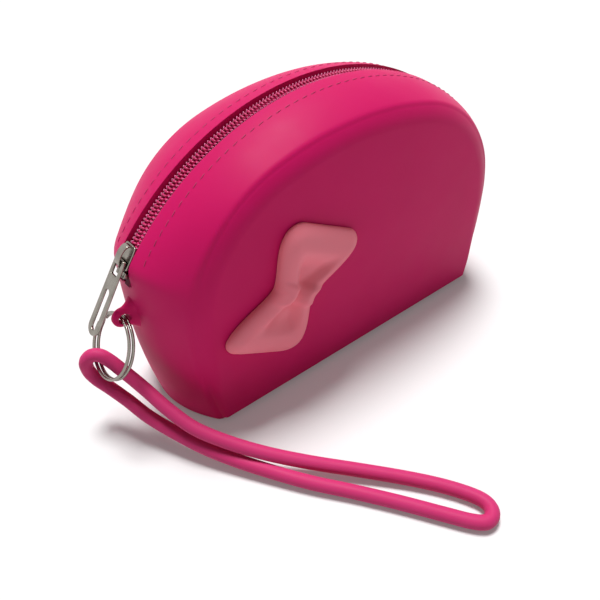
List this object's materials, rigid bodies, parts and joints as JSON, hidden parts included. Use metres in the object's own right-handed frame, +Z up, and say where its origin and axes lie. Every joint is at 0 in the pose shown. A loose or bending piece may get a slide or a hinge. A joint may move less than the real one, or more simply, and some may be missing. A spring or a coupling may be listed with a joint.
{
  "type": "silicone purse",
  "caption": "Small silicone purse with an arched top, a coil zip over it, a bow on its face, and a looped wrist strap on a split ring.",
  "frame": {"origin": "middle of the flat base", "axes": "+X along the purse away from the eyelet, +Y from the face with the bow to the back, +Z up"},
  "size_m": [0.1662, 0.1295, 0.0952],
  "materials": {
    "silicone": "matte hot pink silicone",
    "bow_silicone": "satin salmon pink silicone",
    "tape": "woven polyester tape",
    "coil": "nylon coil",
    "thread": "sewing thread",
    "nickel": "nickel plate"
  },
  "bodies": {
    "purse": {"body_shell": "silicone", "bow_ornament": "bow_silicone", "zip_tape_front": "tape", "zip_tape_back": "tape", "zip_coil_front": "coil", "zip_coil_back": "coil", "seam_thread_front": "thread", "seam_thread_back": "thread", "top_stop_front": "nickel", "top_stop_back": "nickel", "bottom_stop": "nickel"},
    "slider": {"slider_body": "nickel"},
    "pull": {"slider_pull": "nickel"},
    "ring": {"split_ring": "nickel"},
    "strap": {"wrist_strap": "silicone"}
  },
  "joints": [
    {"name": "slider_travel", "type": "hinge", "parent": "purse", "child": "slider", "pos_m": [0, 0, 0.0032], "axis": [0, 1, 0], "range_deg": [0, 100.4]},
    {"name": "pull_swing", "type": "hinge", "parent": "slider", "child": "pull", "pos_m": [-0.0725, 0, 0.06152], "axis": [0, 1, 0], "range_deg": [0, 155]},
    {"name": "ring_swing", "type": "hinge", "parent": "purse", "child": "ring", "pos_m": [-0.0765, 0, 0.042], "axis": [0, 1, 0], "range_deg": [-3, 60]},
    {"name": "strap_swing", "type": "hinge", "parent": "ring", "child": "strap", "pos_m": [-0.08701, 0, 0.02416], "axis": [0, 1, 0], "range_deg": [-42, 5]}
  ]
}
